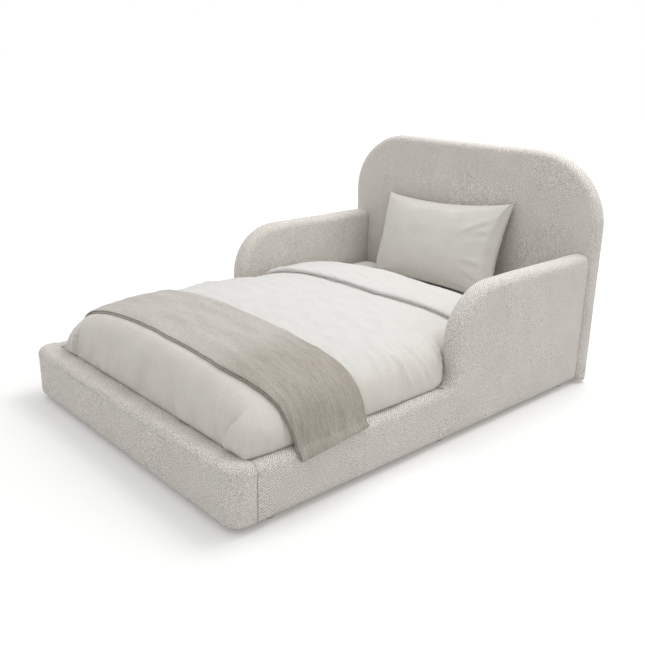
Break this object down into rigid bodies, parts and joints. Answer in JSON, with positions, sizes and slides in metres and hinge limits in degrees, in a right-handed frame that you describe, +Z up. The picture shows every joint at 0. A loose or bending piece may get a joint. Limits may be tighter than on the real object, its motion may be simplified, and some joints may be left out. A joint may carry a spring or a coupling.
{
  "type": "toddler bed",
  "caption": "Low upholstered toddler bed with a round-shouldered headboard, curved guard arms and a slatted base, made up with mattress, duvet, pillow and throw.",
  "frame": {"origin": "centre of the bed's footprint on the floor, at the bottom of the glides", "axes": "+X across the bed towards the side where the throw hangs, +Y along the bed from footboard to headboard, +Z up"},
  "size_m": [1.09, 1.457, 0.752],
  "materials": {
    "woven_upholstery": "matte",
    "padding_foam": "matte",
    "plywood_board": "matte",
    "pine_timber": "satin",
    "strap_webbing": "matte",
    "painted_steel": "satin",
    "zinc_bolt": "satin",
    "black_plastic": "matte",
    "felt_glide": "matte",
    "mattress_ticking": "matte",
    "sheet_cotton": "matte",
    "duvet_cotton": "matte",
    "pillow_cotton": "matte",
    "throw_wool": "matte"
  },
  "bodies": {
    "base": {"headboard_cover": "woven_upholstery", "headboard_back_panel": "woven_upholstery", "footboard_cover": "woven_upholstery", "right_rail_cover": "woven_upholstery", "left_rail_cover": "woven_upholstery", "headboard_foam": "padding_foam", "footboard_foam": "padding_foam", "right_rail_foam": "padding_foam", "left_rail_foam": "padding_foam", "headboard_board": "plywood_board", "footboard_board": "plywood_board", "right_rail_board": "plywood_board", "left_rail_board": "plywood_board", "bracket_front_right": "painted_steel", "rail_bolt_front_right": "zinc_bolt", "end_bolt_front_right": "zinc_bolt", "bracket_front_left": "painted_steel", "rail_bolt_front_left": "zinc_bolt", "end_bolt_front_left": "zinc_bolt", "bracket_rear_right": "painted_steel", "rail_bolt_rear_right": "zinc_bolt", "end_bolt_rear_right": "zinc_bolt", "bracket_rear_left": "painted_steel", "rail_bolt_rear_left": "zinc_bolt", "end_bolt_rear_left": "zinc_bolt", "slat_01": "pine_timber", "slat_02": "pine_timber", "slat_03": "pine_timber", "slat_04": "pine_timber", "slat_05": "pine_timber", "slat_06": "pine_timber", "slat_07": "pine_timber", "slat_08": "pine_timber", "slat_09": "pine_timber", "slat_10": "pine_timber", "slat_11": "pine_timber", "slat_12": "pine_timber", "cleat_right": "pine_timber", "cleat_left": "pine_timber", "centre_beam": "pine_timber", "slat_strap_right": "strap_webbing", "slat_strap_left": "strap_webbing", "beam_hanger_front": "painted_steel", "beam_hanger_rear": "painted_steel", "centre_leg_front": "black_plastic", "centre_leg_rear": "black_plastic", "glide_front_right": "felt_glide", "glide_front_left": "felt_glide", "glide_middle_right": "felt_glide", "glide_middle_left": "felt_glide", "glide_rear_right": "felt_glide", "glide_rear_left": "felt_glide"},
    "mattress_set": {"mattress": "mattress_ticking", "fitted_sheet": "sheet_cotton"},
    "duvet_set": {"duvet": "duvet_cotton"},
    "throw_set": {"throw_blanket": "throw_wool"},
    "pillow_set": {"pillow_insert": "mattress_ticking", "pillowcase": "pillow_cotton"}
  },
  "joints": [
    {"name": "mattress_lift", "type": "slide", "parent": "base", "child": "mattress_set", "axis": [0, 0, 1], "range_m": [0, 0.75]},
    {"name": "duvet_lift", "type": "slide", "parent": "mattress_set", "child": "duvet_set", "axis": [0, 0, 1], "range_m": [0, 0.35]},
    {"name": "throw_lift", "type": "slide", "parent": "duvet_set", "child": "throw_set", "axis": [0, 0, 1], "range_m": [0, 0.3]},
    {"name": "pillow_lift", "type": "slide", "parent": "mattress_set", "child": "pillow_set", "axis": [0, 0, 1], "range_m": [0, 0.55]}
  ]
}
